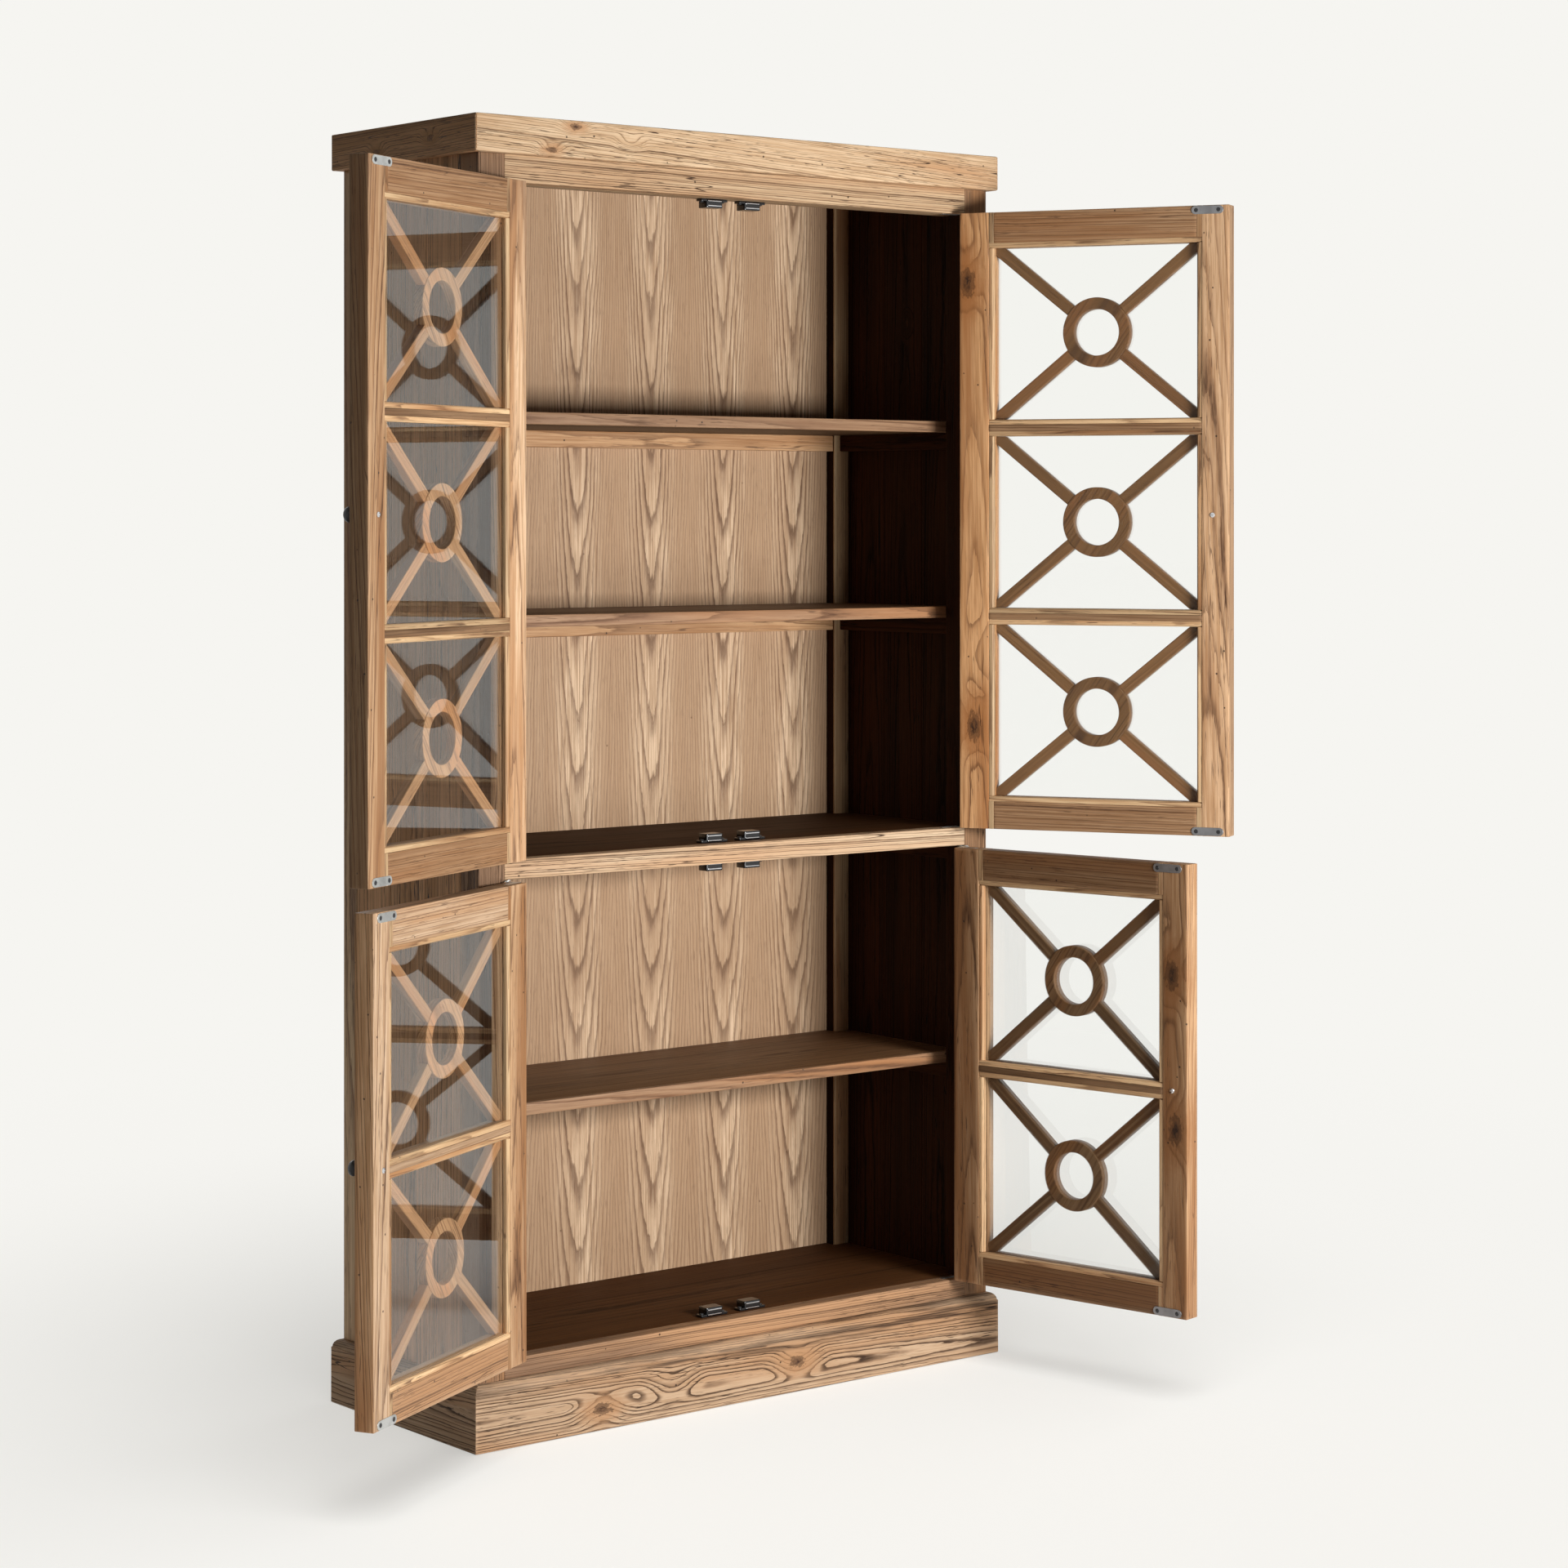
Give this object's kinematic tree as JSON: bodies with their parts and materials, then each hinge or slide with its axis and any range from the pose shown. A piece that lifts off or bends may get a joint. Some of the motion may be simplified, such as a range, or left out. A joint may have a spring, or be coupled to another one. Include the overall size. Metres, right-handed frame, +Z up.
{
  "type": "glazed book cabinet",
  "caption": "Tall old-elm book cabinet with upper and lower pairs of glazed doors, cross-and-ring fretwork over the panes, inner shelves, magnetic catches, a plain crown and a moulded plinth.",
  "frame": {"origin": "on the floor under the middle of the plinth", "axes": "+Z up, -Y out of the doors, +X to a viewer's right when facing the doors"},
  "size_m": [1.6382, 0.8984, 2.1],
  "materials": {
    "brushed_elm": "brushed old elm, matt",
    "shelf_elm": "dark stained, satin",
    "back_veneer": "pale veneer, matt",
    "inner_wood": "plain, matt",
    "door_elm": "warm oiled elm, satin",
    "fretwork_elm": "oiled, matt",
    "bead_elm": "plain, matt",
    "clear_glass": "clear, polished",
    "black_iron": "black, satin",
    "black_plastic": "moulded, gloss",
    "zinc_steel": "zinc plated"
  },
  "bodies": {
    "carcass": {"crown_top_panel": "brushed_elm", "crown_front_edging": "brushed_elm", "crown_side_edgings": "brushed_elm", "ceiling_board": "shelf_elm", "header_rail": "brushed_elm", "mid_rail": "brushed_elm", "bottom_rail": "brushed_elm", "back_rails": "inner_wood", "front_left_post": "brushed_elm", "front_right_post": "brushed_elm", "rear_left_post": "brushed_elm", "rear_right_post": "brushed_elm", "left_side_panel": "brushed_elm", "right_side_panel": "brushed_elm", "back_panel": "back_veneer", "floor_board": "shelf_elm", "divider_board": "shelf_elm", "top_shelf": "shelf_elm", "middle_shelf": "shelf_elm", "lower_shelf": "shelf_elm", "shelf_cleats": "inner_wood", "plinth_front_board": "brushed_elm", "plinth_side_boards": "brushed_elm", "plinth_back_board": "brushed_elm", "plinth_bearers": "inner_wood", "catch_housings": "black_plastic", "catch_pole_strips": "zinc_steel", "frame_hinge_leaves": "zinc_steel"},
    "upper_left_door": {"upper_left_stiles": "door_elm", "upper_left_rails": "door_elm", "upper_left_fretwork": "fretwork_elm", "upper_left_panes": "clear_glass", "upper_left_glazing_beads": "bead_elm", "upper_left_knob_and_strikes": "black_iron", "upper_left_hinge_leaves": "zinc_steel"},
    "upper_right_door": {"upper_right_stiles": "door_elm", "upper_right_rails": "door_elm", "upper_right_fretwork": "fretwork_elm", "upper_right_panes": "clear_glass", "upper_right_glazing_beads": "bead_elm", "upper_right_knob_and_strikes": "black_iron", "upper_right_hinge_leaves": "zinc_steel"},
    "lower_left_door": {"lower_left_stiles": "door_elm", "lower_left_rails": "door_elm", "lower_left_fretwork": "fretwork_elm", "lower_left_panes": "clear_glass", "lower_left_glazing_beads": "bead_elm", "lower_left_knob_and_strikes": "black_iron", "lower_left_hinge_leaves": "zinc_steel"},
    "lower_right_door": {"lower_right_stiles": "door_elm", "lower_right_rails": "door_elm", "lower_right_fretwork": "fretwork_elm", "lower_right_panes": "clear_glass", "lower_right_glazing_beads": "bead_elm", "lower_right_knob_and_strikes": "black_iron", "lower_right_hinge_leaves": "zinc_steel"}
  },
  "joints": [
    {"name": "upper_left_hinge", "type": "hinge", "parent": "carcass", "child": "upper_left_door", "pos_m": [-0.484, -0.204, 1.4605], "axis": [0, 0, -1], "range_deg": [-153, 22]},
    {"name": "upper_right_hinge", "type": "hinge", "parent": "carcass", "child": "upper_right_door", "pos_m": [0.484, -0.204, 1.4605], "axis": [0, 0, 1], "range_deg": [-119.3, 55.7]},
    {"name": "lower_left_hinge", "type": "hinge", "parent": "carcass", "child": "lower_left_door", "pos_m": [-0.484, -0.204, 0.515], "axis": [0, 0, -1], "range_deg": [-152, 23]},
    {"name": "lower_right_hinge", "type": "hinge", "parent": "carcass", "child": "lower_right_door", "pos_m": [0.484, -0.204, 0.515], "axis": [0, 0, 1], "range_deg": [-101.6, 73.4]}
  ]
}
